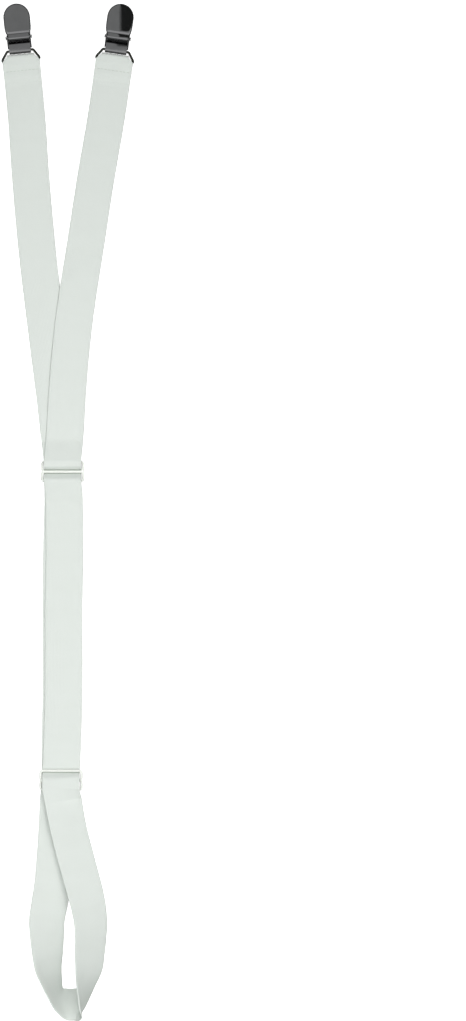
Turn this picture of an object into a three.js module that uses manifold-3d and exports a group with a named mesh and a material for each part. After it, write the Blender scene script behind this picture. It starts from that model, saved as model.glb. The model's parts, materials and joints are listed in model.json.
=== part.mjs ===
// A shirt stay laid flat: an elastic band with a clip at each end and a foot loop,
// drawn together by two three-bar slides. Millimetres, +Z up, clips towards +Y.
// The origin is under the middle of the part, on the surface that it lies on.

import * as THREE from 'three';
import { mergeVertices } from 'three/addons/utils/BufferGeometryUtils.js';
import Module from 'manifold-3d';

const wasm = await Module();
wasm.setup();

// Band
const bandWidth = 25;
const bandThickness = 1.0;
const clearance = 0.3; // kept wherever two surfaces meet

// Where the pieces lie, measured down from the two rings
const slideDrop = 273.4; // rings to upper slide
const slideSpacing = 205.6; // upper slide to lower slide
const slideShift = -1.1; // lower slide sideways of the upper one
const loopDrop = 159.3; // lower slide to the bottom of the foot loop
const loopWidth = 52.1;
const clipSpread = 61.8; // ring to ring, sideways

// Folded end of the band, measured from the ring's lower bar
const foldReach = 4.8; // up to the fold
const pocketDepth = 1.6; // down to where the layers start to close
const stitchDepth = 5.2; // down to where the layers lie together
const tailLength = 8.5; // down to the cut end
const foldNarrowing = 0.73; // width share left at the fold, between the ring's sides
const shoulderNarrowing = 0.81; // width share left where the fold begins

// Ring
const wireRadius = 0.8;
const ringHeight = 7.2;
const ringTopWidth = 17.4;
const ringBottomWidth = 27.2;
const ringTopBend = 1.2;
const ringBottomBend = 1.6;

// Slides
const slideBarRadius = 0.9;
const slidePitch = 6.4; // bar to bar
const slideBend = 1.8;
const rampRun = 16; // run over which the band climbs onto a slide
const rampRadius = 14;

// Clip, measured from the ring's upper bar
const sheetThickness = 0.8;
const baseWidth = 16;
const baseLength = 29;
const baseNoseLength = 7;
const tabFoot = 6.2; // where the tab leaves the plate
const tabShoulder = 4.4; // where it levels out, above the ring
const tabRoll = 250; // degrees that it turns round the ring
const pinRun = 8.6;
const pinRadius = 0.7;
const pinHeadRadius = 1.3;
const pinHeadThickness = 0.5;
const jawGap = 4.8; // base plate to lever plate
const earRadius = 1.9;
const earTurn = 130; // degrees of rounding round the pin
const earRun = 1.6;
const earBackHeight = 2.4;
const leverSideGap = 0.4;
const leverWidth = 17.1;
const leverLength = 30.8;
const leverRearRun = 11.1;
const leverRearWidth = 14.6;
const leverShoulder = 6;
const leverNoseLength = 8.8;
const leverTip = 0.08; // cut off the nose's point, which has no width
const leverCrown = 0.5;
const lipAngle = -62; // degrees from the lever's own direction
const lipClearance = 0.4; // lip to base plate, for the cloth's edge

const steel = new THREE.MeshStandardMaterial({ color: '#4a4a4c', roughness: 0.18, metalness: 1 });
const wireSteel = new THREE.MeshStandardMaterial({ color: '#3c3d38', roughness: 0.25, metalness: 1 });
const elastic = new THREE.MeshStandardMaterial({ color: '#dfe4dd', roughness: 0.85, metalness: 0 });
const plastic = new THREE.MeshStandardMaterial({ color: '#eef1ea', roughness: 0.3, metalness: 0 });

// Levels above the surface, worked out from the stack of layers
const layerStep = bandThickness + clearance;
const ringLevel = bandThickness + clearance + wireRadius;
const barWrap = slideBarRadius + clearance + bandThickness / 2;
const slideLevel = barWrap + layerStep + bandThickness / 2;
const radians = THREE.MathUtils.degToRad;

// Named rows from a short table
function table(columns, rows) {
  return rows.map((row) => Object.fromEntries(columns.map((name, i) => [name, row[i]])));
}

// Smooth curve through the rows, column by column
function smoothRows(rows, steps) {
  const curve = (a, b, c, d, t) =>
    b + 0.5 * t * (c - a + t * (2 * a - 5 * b + 4 * c - d + t * (3 * (b - c) + d - a)));
  const smooth = [];
  for (let i = 0; i < rows.length - 1; i++) {
    const near = [rows[Math.max(i - 1, 0)], rows[i], rows[i + 1], rows[Math.min(i + 2, rows.length - 1)]];
    for (let k = 0; k < steps; k++) {
      const row = {};
      for (const name of Object.keys(rows[0])) {
        row[name] = curve(...near.map((entry) => entry[name]), k / steps);
      }
      smooth.push(row);
    }
  }
  smooth.push(rows.at(-1));
  return smooth;
}

// Value of a column at a place between rows that are sorted by falling y
function readAt(rows, y, name) {
  const next = rows.findIndex((row) => row.y <= y);
  if (next === 0) return rows[0][name];
  if (next < 0) return rows.at(-1)[name];
  const [above, below] = [rows[next - 1], rows[next]];
  return THREE.MathUtils.mapLinear(y, above.y, below.y, above[name], below[name]);
}

function indexedGeometry(points, triangles) {
  const geometry = new THREE.BufferGeometry().setFromPoints(points);
  let volume = 0;
  for (let i = 0; i < triangles.length; i += 3) {
    const [a, b, c] = [0, 1, 2].map((k) => points[triangles[i + k]]);
    volume += a.dot(b.clone().cross(c));
  }
  geometry.setIndex(volume > 0 ? triangles : triangles.reverse());
  geometry.computeVertexNormals();
  return geometry;
}

// Closed skin over a row of sections with the same number of corners
function loft(sections, closed = false) {
  const corners = sections[0].length;
  const triangles = [];
  const last = closed ? sections.length : sections.length - 1;
  for (let i = 0; i < last; i++) {
    const from = i * corners;
    const to = ((i + 1) % sections.length) * corners;
    for (let k = 0; k < corners; k++) {
      const next = (k + 1) % corners;
      triangles.push(from + k, from + next, to + next, from + k, to + next, to + k);
    }
  }
  if (!closed) {
    const end = (sections.length - 1) * corners;
    for (let k = 1; k < corners - 1; k++) {
      triangles.push(0, k + 1, k, end, end + k, end + k + 1);
    }
  }
  return indexedGeometry(sections.flat(), triangles);
}

function toSolid(geometry) {
  const bare = geometry.clone();
  bare.deleteAttribute('normal');
  bare.deleteAttribute('uv');
  const merged = mergeVertices(bare, 1e-4);
  return new wasm.Manifold(new wasm.Mesh({
    numProp: 3,
    vertProperties: merged.attributes.position.array,
    triVerts: Uint32Array.from(merged.index.array),
  }));
}

function toGeometry(solid) {
  const mesh = solid.getMesh();
  const geometry = new THREE.BufferGeometry();
  geometry.setAttribute('position', new THREE.BufferAttribute(mesh.vertProperties, 3));
  geometry.setIndex(new THREE.BufferAttribute(mesh.triVerts, 1));
  geometry.computeVertexNormals();
  return geometry;
}

function join(...geometries) {
  return toGeometry(geometries.map(toSolid).reduce((whole, piece) => whole.add(piece)));
}

function named(name, geometry, material) {
  const mesh = new THREE.Mesh(geometry, material);
  mesh.name = name;
  return mesh;
}

// Arc of points round a centre, in degrees
function arc(centre, radius, from, to, steps) {
  return Array.from({ length: steps + 1 }, (_, k) => {
    const angle = radians(THREE.MathUtils.lerp(from, to, k / steps));
    return new THREE.Vector2(centre.x + radius * Math.cos(angle), centre.y + radius * Math.sin(angle));
  });
}

// Outline of a flat loop whose corners are rounded by the bends given with them
function roundedOutline(corners, steps) {
  return corners.flatMap(({ at, bend }, i) => {
    const before = corners.at(i - 1).at.clone().sub(at).normalize();
    const after = corners[(i + 1) % corners.length].at.clone().sub(at).normalize();
    const half = before.angleTo(after) / 2;
    const middle = before.clone().add(after).normalize();
    const centre = at.clone().addScaledVector(middle, bend / Math.sin(half));
    const start = at.clone().addScaledVector(before, bend / Math.tan(half)).sub(centre);
    const turn = (Math.PI - 2 * half) * Math.sign(before.cross(after));
    return Array.from({ length: steps + 1 }, (_, k) =>
      start.clone().rotateAround(new THREE.Vector2(), (-turn * k) / steps).add(centre));
  });
}

// Round wire along a closed flat outline
function wireLoop(outline, radius, level, sides) {
  const sections = outline.map((point, i) => {
    const ahead = outline[(i + 1) % outline.length].clone().sub(outline.at(i - 1)).normalize();
    const across = new THREE.Vector3(ahead.y, -ahead.x, 0);
    return Array.from({ length: sides }, (_, k) => {
      const angle = (2 * Math.PI * k) / sides;
      return new THREE.Vector3(point.x, point.y, level + radius * Math.sin(angle))
        .addScaledVector(across, radius * Math.cos(angle));
    });
  });
  return loft(sections, true);
}

// Bent sheet: a strip along a side path of (run, height) points, as wide as given
function bentSheet(path, width) {
  const offset = (side) => path.map((point, i) => {
    const after = path[Math.min(i + 1, path.length - 1)];
    const ahead = after.clone().sub(path[Math.max(i - 1, 0)]).normalize();
    return new THREE.Vector2(-ahead.y, ahead.x).multiplyScalar((side * sheetThickness) / 2).add(point);
  });
  return sidePlate(new THREE.Shape([...offset(1), ...offset(-1).reverse()]), width);
}

// Plate cut to a side outline of (run, height), centred across the clip
function sidePlate(shape, width) {
  const geometry = new THREE.ExtrudeGeometry(shape, {
    depth: width, bevelEnabled: false, curveSegments: 10,
  });
  geometry.translate(0, 0, -width / 2);
  geometry.applyMatrix4(new THREE.Matrix4().makeBasis(
    new THREE.Vector3(0, 1, 0), new THREE.Vector3(0, 0, 1), new THREE.Vector3(1, 0, 0)));
  return geometry;
}

// Band

// Side view of a run that passes over and under a row of round bars. A bar of no radius is
// a point that the run goes through. Each bar: y, level, radius of the wrap, over or under.
function wrapBars(bars, steps) {
  const side = (bar) => (bar.over ? 1 : -1) * bar.radius;
  const angles = bars.slice(1).map((bar, i) => {
    const from = bars[i];
    const span = new THREE.Vector2(from.y - bar.y, bar.level - from.level);
    return span.angle() - Math.asin((side(from) - side(bar)) / span.length());
  }).map((angle) => Math.atan2(Math.sin(angle), Math.cos(angle)));
  return bars.flatMap((bar, i) => {
    const arriving = angles[i - 1] ?? 0;
    const leaving = angles[i] ?? 0;
    const turns = bar.radius > 0 && Math.abs(arriving - leaving) > 0.01 ? steps : 0;
    return Array.from({ length: turns + 1 }, (_, k) => {
      const angle = turns ? THREE.MathUtils.lerp(arriving, leaving, k / turns) : leaving;
      return { y: bar.y + side(bar) * Math.sin(angle), level: bar.level + side(bar) * Math.cos(angle) };
    });
  });
}

// Stations no further apart than the longest step, down a run
function fillRun(points, longest) {
  return points.flatMap((point, i) => {
    const next = points[i + 1];
    const count = next ? Math.max(1, Math.ceil((point.y - next.y) / longest)) : 1;
    return Array.from({ length: count }, (_, k) => ({
      y: next ? THREE.MathUtils.lerp(point.y, next.y, k / count) : point.y,
      level: next ? THREE.MathUtils.lerp(point.level, next.level, k / count) : point.level,
    }));
  });
}

// Seen from above, each run's middle line. Shares of slideDrop and clipSpread
const frontStrand = table(['along', 'across'], [
  [0, 0.557], [0.143, 0.464], [0.289, 0.353], [0.435, 0.254], [0.533, 0.186], [0.63, 0.125],
  [0.728, 0.078], [0.825, 0.046], [0.9, 0.028], [0.95, 0.01], [0.977, 0], [1, 0],
]);
const backStrand = table(['along', 'across'], [
  [0, -0.448], [0.143, -0.388], [0.289, -0.344], [0.484, -0.265], [0.679, -0.161],
  [0.825, -0.079], [0.9, -0.044], [0.95, -0.015], [0.977, 0], [1, 0],
]);
// Between the slides: shares of slideSpacing and bandWidth, from the line between the slides
const frontMiddle = table(['along', 'across'], [
  [0.031, 0], [0.08, 0.04], [0.254, 0.067], [0.449, 0.045], [0.546, 0.054], [0.74, 0.057],
  [0.92, 0.02], [0.969, 0], [1, 0], [1.031, 0],
]);
const backMiddle = table(['along', 'across'], [
  [0.031, 0], [0.08, 0.015], [0.254, -0.015], [0.449, -0.02], [0.643, -0.005], [0.838, -0.02],
  [0.935, -0.02], [1, -0.01],
]);

const upperY = -slideDrop;
const lowerY = upperY - slideSpacing;

function planOf(strand, middle) {
  const above = strand.map(({ along, across }) => ({ y: -along * slideDrop, x: across * clipSpread }));
  const between = middle.map(({ along, across }) => ({
    y: upperY - along * slideSpacing,
    x: along * slideShift + across * bandWidth,
  }));
  return smoothRows([...above, ...between], 6);
}

// Bars of a slide as the band meets them, layer 0 lying under layer 1
function slideBars(slideY, layer, overs) {
  return overs.map((over, i) => ({
    y: slideY + (1 - i) * slidePitch,
    level: slideLevel,
    over,
    radius: barWrap + (over ? layer : 1 - layer) * layerStep,
  }));
}

const layerLevel = (layer) => bandThickness / 2 + layer * layerStep;

function ramp(y, layer) {
  return { y, level: layerLevel(0) + rampRadius, radius: rampRadius - layer * layerStep, over: false };
}

function upperSlideRun(layer) {
  const reach = slidePitch + rampRun;
  return [ramp(upperY + reach, layer), ...slideBars(upperY, layer, [true, false, true]),
    ramp(upperY - reach, layer)];
}

// The front run lies on the back one below the crossing, given as shares of slideDrop
const crossingStart = 0.47;
const crossingEnd = 0.54;
const waypoint = (y, level) => ({ y, level, radius: 0, over: true });

// Foot loop, from the front run at the lower slide, round the bottom, to the back run.
// Shares of loopWidth and loopDrop from the slide, heading and roll in degrees. A heading of
// 0 runs down, 90 to the left, 180 up. A roll of 0 shows the band's outer face, 90 stands it
// on edge and 180 shows its inner face. Layers counts the band thicknesses under its low edge.
const footLoop = table(['across', 'along', 'heading', 'roll', 'layers'], [
  [0.029, 0.084, -9, 8, 1],
  [0.066, 0.151, -11, 14, 0.7],
  [0.108, 0.218, -13, 16, 0.2],
  [0.213, 0.351, -15, 16, 0],
  [0.324, 0.485, -13, 20, 0],
  [0.379, 0.586, -5, 28, 0],
  [0.383, 0.653, 0, 34, 0],
  [0.370, 0.720, 4, 38, 0],
  [0.359, 0.787, 7, 45, 0],
  [0.320, 0.854, 12, 61, 0],
  [0.294, 0.912, 13, 75, 0],
  [0.274, 0.951, 16, 84, 0],
  [0.266, 0.969, 48, 93, 0],
  [0.257, 0.968, 88, 108, 0],
  [0.236, 0.953, 97, 128, 0],
  [0.203, 0.937, 96, 144, 0],
  [0.097, 0.935, 97, 142, 0],
  [0.011, 0.919, 107, 129, 0],
  [-0.056, 0.893, 135, 116, 0],
  [-0.109, 0.844, 162, 121, 0],
  [-0.155, 0.787, 169, 133, 0],
  [-0.168, 0.720, 176, 144, 0],
  [-0.177, 0.653, 180, 153, 0],
  [-0.180, 0.586, 184, 161, 0],
  [-0.148, 0.519, 189, 166, 0],
  [-0.099, 0.418, 189, 171, 0],
  [-0.052, 0.218, 184, 177, 0],
  [-0.035, 0.084, 182, 180, 0],
]);

function loopStations() {
  return smoothRows(footLoop, 3).map(({ across, along, heading, roll, layers }) => {
    const [h, r] = [radians(heading), radians(roll)];
    const lift = (bandWidth / 2) * Math.abs(Math.sin(r)) + (bandThickness / 2) * Math.abs(Math.cos(r));
    return {
      centre: new THREE.Vector3(
        slideShift + across * loopWidth, lowerY - along * loopDrop, lift + layers * layerStep),
      side: new THREE.Vector3(Math.cos(h) * Math.cos(r), -Math.sin(h) * Math.cos(r), -Math.sin(r)),
      width: bandWidth,
    };
  });
}

// Stations down a run: a plan line seen from above and a side view of levels. The band lies
// square across the upper slide's bars and on the slopes beside them.
function runStations(plan, levels) {
  return fillRun(levels, bandWidth / 2).map(({ y, level }) => {
    const square = Math.abs(y - upperY) < slidePitch + rampRun + bandThickness;
    const slope = square ? 0 : (readAt(plan, y + 1, 'x') - readAt(plan, y - 1, 'x')) / 2;
    return {
      centre: new THREE.Vector3(readAt(plan, y, 'x'), y, level),
      side: new THREE.Vector3(1, -slope, 0).normalize(),
      width: bandWidth,
    };
  });
}

// Where a strand's end lies and which way it points, from its plan line
function strandEnd(plan) {
  const [end, next] = [plan[0], readAt(plan, -stitchDepth - tailLength, 'x')];
  return { x: end.x, turn: Math.atan2(next - end.x, stitchDepth + tailLength) };
}

// The folded end: down the front layer's way in reverse, from the strand to the cut end
function foldStations({ x, turn }) {
  const foldRadius = ringLevel - bandThickness / 2;
  const bend = foldReach - bandThickness / 2 - foldRadius;
  const top = ringLevel + foldRadius;
  const rows = table(['run', 'level', 'share'], [
    [-stitchDepth - tailLength, layerLevel(0), 1],
    [-tailLength - layerStep, layerLevel(1), 1],
    [-tailLength, layerLevel(1), 1],
    [-stitchDepth, layerLevel(1), 1],
    [-pocketDepth, top, 1],
    [wireRadius / 2, top, 1],
    [bend, top, shoulderNarrowing],
  ]);
  for (const { x: run, y: level } of arc(new THREE.Vector2(bend, ringLevel), foldRadius, 60, -60, 4)) {
    rows.push({ run, level, share: foldNarrowing });
  }
  rows.push(...table(['run', 'level', 'share'], [
    [bend, layerLevel(0), shoulderNarrowing],
    [wireRadius / 2, layerLevel(0), 1],
    [-tailLength, layerLevel(0), 1],
  ]));
  const up = new THREE.Vector3(-Math.sin(turn), Math.cos(turn), 0);
  return rows.map(({ run, level, share }) => ({
    centre: new THREE.Vector3(x, 0, level).addScaledVector(up, run),
    side: new THREE.Vector3(Math.cos(turn), Math.sin(turn), 0),
    width: bandWidth * share,
  }));
}

const frontPlan = planOf(frontStrand, frontMiddle);
const backPlan = planOf(backStrand, backMiddle);
const frontEnd = strandEnd(frontPlan);
const backEnd = strandEnd(backPlan);

function webbing() {
  const foldRun = stitchDepth + tailLength + bandThickness * 3;
  const frontLevels = wrapBars([
    waypoint(-foldRun, layerLevel(0)),
    waypoint(-crossingStart * slideDrop, layerLevel(0)),
    waypoint(-crossingEnd * slideDrop, layerLevel(1)),
    ...upperSlideRun(1),
    ...slideBars(lowerY, 1, [false, true, true]),
  ], 4);
  const backLevels = wrapBars([
    waypoint(-foldRun, layerLevel(0)),
    ...upperSlideRun(0),
    waypoint(lowerY, layerLevel(0)),
  ], 4);
  const stations = [
    ...foldStations(frontEnd).reverse(),
    ...runStations(frontPlan, frontLevels),
    ...loopStations(),
    ...runStations(backPlan, backLevels).reverse(),
    ...foldStations(backEnd),
  ];
  const sections = stations.map(({ centre, side, width }, i) => {
    const step = (from, to) => stations[to].centre.clone().sub(stations[from].centre).normalize();
    const ahead = i + 1 < stations.length ? step(i, i + 1) : step(i - 1, i);
    const behind = i > 0 ? step(i - 1, i) : ahead;
    const face = ahead.clone().add(behind).cross(side).normalize();
    const corner = (across, out) => centre.clone()
      .addScaledVector(side, (across * width) / 2)
      .addScaledVector(face, (out * bandThickness) / 2);
    const corners = [corner(-1, 1), corner(1, 1), corner(1, -1), corner(-1, -1)];
    const sunk = Math.min(0, ...corners.map((point) => point.z));
    return corners.map((point) => point.setZ(point.z - sunk));
  });
  return named('webbing', loft(sections), elastic);
}

// Ring: bent wire, wide below for the band and narrow above for the clip's tab
function ring(name) {
  const corners = [
    { at: new THREE.Vector2(-ringBottomWidth / 2, -ringHeight), bend: ringBottomBend },
    { at: new THREE.Vector2(ringBottomWidth / 2, -ringHeight), bend: ringBottomBend },
    { at: new THREE.Vector2(ringTopWidth / 2, 0), bend: ringTopBend },
    { at: new THREE.Vector2(-ringTopWidth / 2, 0), bend: ringTopBend },
  ];
  return named(name, wireLoop(roundedOutline(corners, 4), wireRadius, ringLevel, 10), wireSteel);
}

// Slide: two round-cornered loops that share their middle bar
function slide(name, x, y) {
  const halfWidth = bandWidth / 2 + clearance + slideBarRadius;
  const loops = [1, -1].map((way) => wireLoop(roundedOutline([
    { at: new THREE.Vector2(-halfWidth, 0), bend: slideBend },
    { at: new THREE.Vector2(halfWidth, 0), bend: slideBend },
    { at: new THREE.Vector2(halfWidth, way * slidePitch), bend: slideBend },
    { at: new THREE.Vector2(-halfWidth, way * slidePitch), bend: slideBend },
  ], 4), slideBarRadius, slideLevel, 12));
  const mesh = named(name, join(...loops), plastic);
  mesh.position.set(x, y, 0);
  return mesh;
}

// Clip levels and side views, as (run from the ring, height)
const leverUnder = sheetThickness + jawGap;
const leverMiddle = leverUnder + sheetThickness / 2;
const knuckleRadius = pinRadius + clearance + sheetThickness / 2;
const pin = new THREE.Vector2(pinRun, leverMiddle - knuckleRadius);
const tabWidth = baseWidth - 2 * sheetThickness;
const knuckleWidth = tabWidth - 2 * leverSideGap;

// Base: flat plate with a rounded nose, an ear each side, and a tab that rises from its rear,
// passes over the ring's bar and rolls down behind and under it
function clipBase(name) {
  const half = baseWidth / 2;
  const nose = baseLength - baseNoseLength;
  const outline = new THREE.Shape();
  outline.moveTo(-half, tabFoot);
  outline.lineTo(half, tabFoot);
  outline.lineTo(half, nose);
  outline.absellipse(0, nose, half, baseNoseLength, 0, Math.PI, false, 0);
  const plate = new THREE.ExtrudeGeometry(outline, {
    depth: sheetThickness, bevelEnabled: false, curveSegments: 10,
  });

  const ringCentre = new THREE.Vector2(0, ringLevel);
  const rollRadius = ringLevel - sheetThickness / 2;
  const tab = bentSheet([
    new THREE.Vector2(tabFoot + sheetThickness, sheetThickness / 2),
    new THREE.Vector2(tabFoot, sheetThickness / 2),
    new THREE.Vector2(tabShoulder, ringLevel + rollRadius),
    ...arc(ringCentre, rollRadius, 90, 90 + tabRoll, 12),
  ], tabWidth);

  const ears = [-1, 1].map((way) => {
    const shape = new THREE.Shape();
    shape.moveTo(earRun, 0);
    shape.lineTo(pin.x + earRadius, 0);
    shape.absarc(pin.x, pin.y, earRadius, 0, radians(earTurn), false);
    shape.lineTo(earRun, earBackHeight);
    const bore = new THREE.Path();
    bore.absarc(pin.x, pin.y, pinRadius + clearance, 0, 2 * Math.PI, true);
    shape.holes.push(bore);
    return sidePlate(shape, sheetThickness).translate(way * (half - sheetThickness / 2), 0, 0);
  });
  return named(name, join(plate, tab, ...ears), steel);
}

// Hinge pin: a rivet with a low head outside each ear
function hingePin(name) {
  const inner = baseWidth / 2 + clearance;
  const outer = inner + pinHeadThickness;
  const profile = [
    [0, -outer], [pinHeadRadius, -outer], [pinHeadRadius, -inner], [pinRadius, -inner],
    [pinRadius, inner], [pinHeadRadius, inner], [pinHeadRadius, outer], [0, outer],
  ].map(([radius, along]) => new THREE.Vector2(radius, along));
  const geometry = new THREE.LatheGeometry(profile, 14);
  const bare = new THREE.BufferGeometry().setAttribute('position', geometry.attributes.position);
  bare.setIndex(geometry.index);
  bare.rotateZ(-Math.PI / 2);
  bare.translate(0, pin.x, pin.y);
  return named(name, toGeometry(toSolid(bare)), steel);
}

// Lever: a domed oval plate, its rolled knuckle and the lip that grips the cloth
function lever(name) {
  const half = leverWidth / 2;
  const rearHalf = leverRearWidth / 2;
  const noseStart = leverLength - leverNoseLength;
  const shoulderEnd = leverRearRun + leverShoulder;
  const noseSteps = 7;
  const shoulderSteps = 4;
  const runs = [
    ...Array.from({ length: shoulderSteps + 1 }, (_, k) =>
      leverRearRun + (leverShoulder * k) / shoulderSteps),
    ...Array.from({ length: noseSteps }, (_, k) =>
      noseStart + leverNoseLength * Math.sin((Math.PI / 2) * (k / noseSteps))),
    leverLength - leverTip,
  ];
  const across = 8;
  const sections = runs.map((run) => {
    const nose = THREE.MathUtils.clamp((run - noseStart) / leverNoseLength, 0, 1);
    const rear = THREE.MathUtils.clamp((shoulderEnd - run) / leverShoulder, 0, 1);
    const rearLoss = (half - rearHalf) * (1 - Math.sqrt(1 - rear * rear));
    const width = half * Math.sqrt(1 - nose * nose) - rearLoss;
    const top = Array.from({ length: across + 1 }, (_, k) => {
      const x = width * ((2 * k) / across - 1);
      const rise = leverCrown * Math.max(0, 1 - (x / half) ** 2 - nose * nose);
      return new THREE.Vector3(x, run, leverUnder + sheetThickness + rise);
    });
    const under = top.map((point) => point.clone().setZ(point.z - sheetThickness)).reverse();
    return [...top, ...under];
  });

  const knuckle = bentSheet([
    new THREE.Vector2(leverRearRun + sheetThickness, leverMiddle),
    ...arc(pin, knuckleRadius, 90, 360 + lipAngle, 12),
  ], knuckleWidth);

  const lipReach = pin.y - sheetThickness - lipClearance;
  const lipLength = lipReach - knuckleRadius;
  const lip = new THREE.BoxGeometry(knuckleWidth, lipLength, sheetThickness);
  lip.translate(0, knuckleRadius + lipLength / 2, 0);
  lip.rotateX(radians(lipAngle));
  lip.translate(0, pin.x, pin.y);
  return named(name, join(loft(sections), knuckle, lip), steel);
}

// A ring with its clip, set at the end of a strand
function clipSet(side, { x, turn }) {
  const up = new THREE.Vector3(-Math.sin(turn), Math.cos(turn), 0);
  const group = new THREE.Group();
  group.add(
    ring(`ring_${side}`),
    clipBase(`clip_base_${side}`),
    hingePin(`hinge_pin_${side}`),
    lever(`lever_${side}`),
  );
  group.rotation.z = turn;
  group.position.set(x, 0, 0).addScaledVector(up, ringHeight);
  return group;
}

const stay = new THREE.Group();
stay.add(
  webbing(),
  slide('slide_upper', 0, upperY),
  slide('slide_lower', slideShift, lowerY),
  clipSet('left', backEnd),
  clipSet('right', frontEnd),
);

// The origin goes under the middle of the whole part
const box = new THREE.Box3().setFromObject(stay, true);
const middle = box.getCenter(new THREE.Vector3());
stay.position.set(-middle.x, -middle.y, -box.min.z);

export default stay;
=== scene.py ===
import json
import math

import bmesh
import bpy
from mathutils import Matrix, Vector

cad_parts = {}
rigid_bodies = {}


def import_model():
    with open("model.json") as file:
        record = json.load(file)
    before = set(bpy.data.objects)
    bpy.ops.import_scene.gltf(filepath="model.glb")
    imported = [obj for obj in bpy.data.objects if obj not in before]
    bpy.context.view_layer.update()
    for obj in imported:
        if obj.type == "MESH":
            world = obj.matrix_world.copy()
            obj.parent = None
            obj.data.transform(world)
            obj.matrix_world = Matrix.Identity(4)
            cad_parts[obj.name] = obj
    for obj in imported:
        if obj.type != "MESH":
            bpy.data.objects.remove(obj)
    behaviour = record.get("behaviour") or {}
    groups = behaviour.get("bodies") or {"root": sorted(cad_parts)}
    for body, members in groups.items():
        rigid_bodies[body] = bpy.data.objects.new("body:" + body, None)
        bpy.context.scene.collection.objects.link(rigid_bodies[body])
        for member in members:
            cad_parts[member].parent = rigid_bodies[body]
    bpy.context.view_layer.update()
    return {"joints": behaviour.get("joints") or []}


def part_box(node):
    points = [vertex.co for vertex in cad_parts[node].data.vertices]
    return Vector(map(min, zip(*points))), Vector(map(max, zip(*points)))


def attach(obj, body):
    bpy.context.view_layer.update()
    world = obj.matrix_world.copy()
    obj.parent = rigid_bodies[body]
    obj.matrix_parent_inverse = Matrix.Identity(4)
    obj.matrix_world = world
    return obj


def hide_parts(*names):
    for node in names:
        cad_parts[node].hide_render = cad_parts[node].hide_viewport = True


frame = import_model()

# Elastic band
# One length of 25 mm woven elastic, folded round a ring at each end and laid twice through
# both slides, so that its middle makes the foot loop. Rubber cords run along it under a fine
# polyester weave, between two firmer selvedges.
mm = 0.001
band_width = 25 * mm
band_thickness = 1.0 * mm
clearance = 0.3 * mm
slide_drop = 273.4 * mm
slide_spacing = 205.6 * mm
slide_shift = -1.1 * mm
loop_drop = 159.3 * mm
loop_width = 52.1 * mm
clip_spread = 61.8 * mm
fold_reach = 4.8 * mm
pocket_depth = 1.6 * mm
stitch_depth = 5.2 * mm
tail_length = 8.5 * mm
fold_narrowing = 0.73
fold_easing = 0.08
fold_turn = 60
fold_turn_step = 10
fold_step = 0.45 * mm
ring_wire = 0.8 * mm
ring_height = 7.2 * mm
slide_bar = 0.9 * mm
slide_pitch = 6.4 * mm
ramp_run = 16 * mm
ramp_radius = 14 * mm
shoulder_run = 4.7 * mm
shoulder_radius = 0.62 * mm
seam_below_fold = 1.0 * mm
seam_depth = 0.22 * mm
seam_spread = 0.5 * mm
seam_reach = 0.93
pucker_height = 0.16 * mm
pucker_waves = 5
station_step = 1.6 * mm
strand_steps = 14
loop_steps = 9
wrap_steps = 12

layer_step = band_thickness + clearance
ring_level = band_thickness + clearance + ring_wire
bar_wrap = slide_bar + clearance + band_thickness / 2
slide_level = bar_wrap + layer_step + band_thickness / 2
seam_run = -stitch_depth - seam_below_fold


def middle_of(node):
    low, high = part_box(node)
    return (low + high) / 2


def table(columns, rows):
    return [dict(zip(columns, row)) for row in rows]


def smooth_rows(rows, steps):
    """Smooth curve through the rows, column by column."""
    smooth = []
    for i in range(len(rows) - 1):
        near = [rows[max(i - 1, 0)], rows[i], rows[i + 1], rows[min(i + 2, len(rows) - 1)]]
        for k in range(steps):
            t = k / steps
            row = {}
            for name in rows[0]:
                a, b, c, d = (entry[name] for entry in near)
                bend = 2 * a - 5 * b + 4 * c - d + t * (3 * (b - c) + d - a)
                row[name] = b + 0.5 * t * (c - a + t * bend)
            smooth.append(row)
    return smooth + [rows[-1]]


def read_at(rows, y, name):
    """Value of a column at a place between rows that are sorted by falling y."""
    following = next((i for i, row in enumerate(rows) if row["y"] <= y), len(rows) - 1)
    if following == 0:
        return rows[0][name]
    above, below = rows[following - 1], rows[following]
    share = min(1, (above["y"] - y) / (above["y"] - below["y"]))
    return above[name] + share * (below[name] - above[name])


def wrap_bars(bars, steps):
    """Side view of a run over and under a row of bars: y, level, radius of the wrap, over or under."""
    side = [bar["radius"] if bar["over"] else -bar["radius"] for bar in bars]
    angles = []
    for i in range(len(bars) - 1):
        down = bars[i]["y"] - bars[i + 1]["y"]
        rise = bars[i + 1]["level"] - bars[i]["level"]
        span = math.hypot(down, rise)
        angles.append(math.atan2(rise, down) - math.asin((side[i] - side[i + 1]) / span))
    points = []
    for i, bar in enumerate(bars):
        arriving = angles[i - 1] if i > 0 else 0
        leaving = angles[i] if i < len(angles) else 0
        turns = steps if bar["radius"] > 0 and abs(arriving - leaving) > 0.01 else 0
        for k in range(turns + 1):
            angle = arriving + (leaving - arriving) * k / turns if turns else leaving
            points.append({
                "y": bar["y"] + side[i] * math.sin(angle),
                "level": bar["level"] + side[i] * math.cos(angle),
            })
    return points


def fill_run(points, longest):
    """Stations no further apart than the longest step, down a run."""
    filled = []
    for here, there in zip(points, points[1:]):
        count = max(1, math.ceil((here["y"] - there["y"]) / longest))
        for k in range(count):
            filled.append({name: here[name] + (there[name] - here[name]) * k / count for name in here})
    return filled + [points[-1]]


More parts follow.
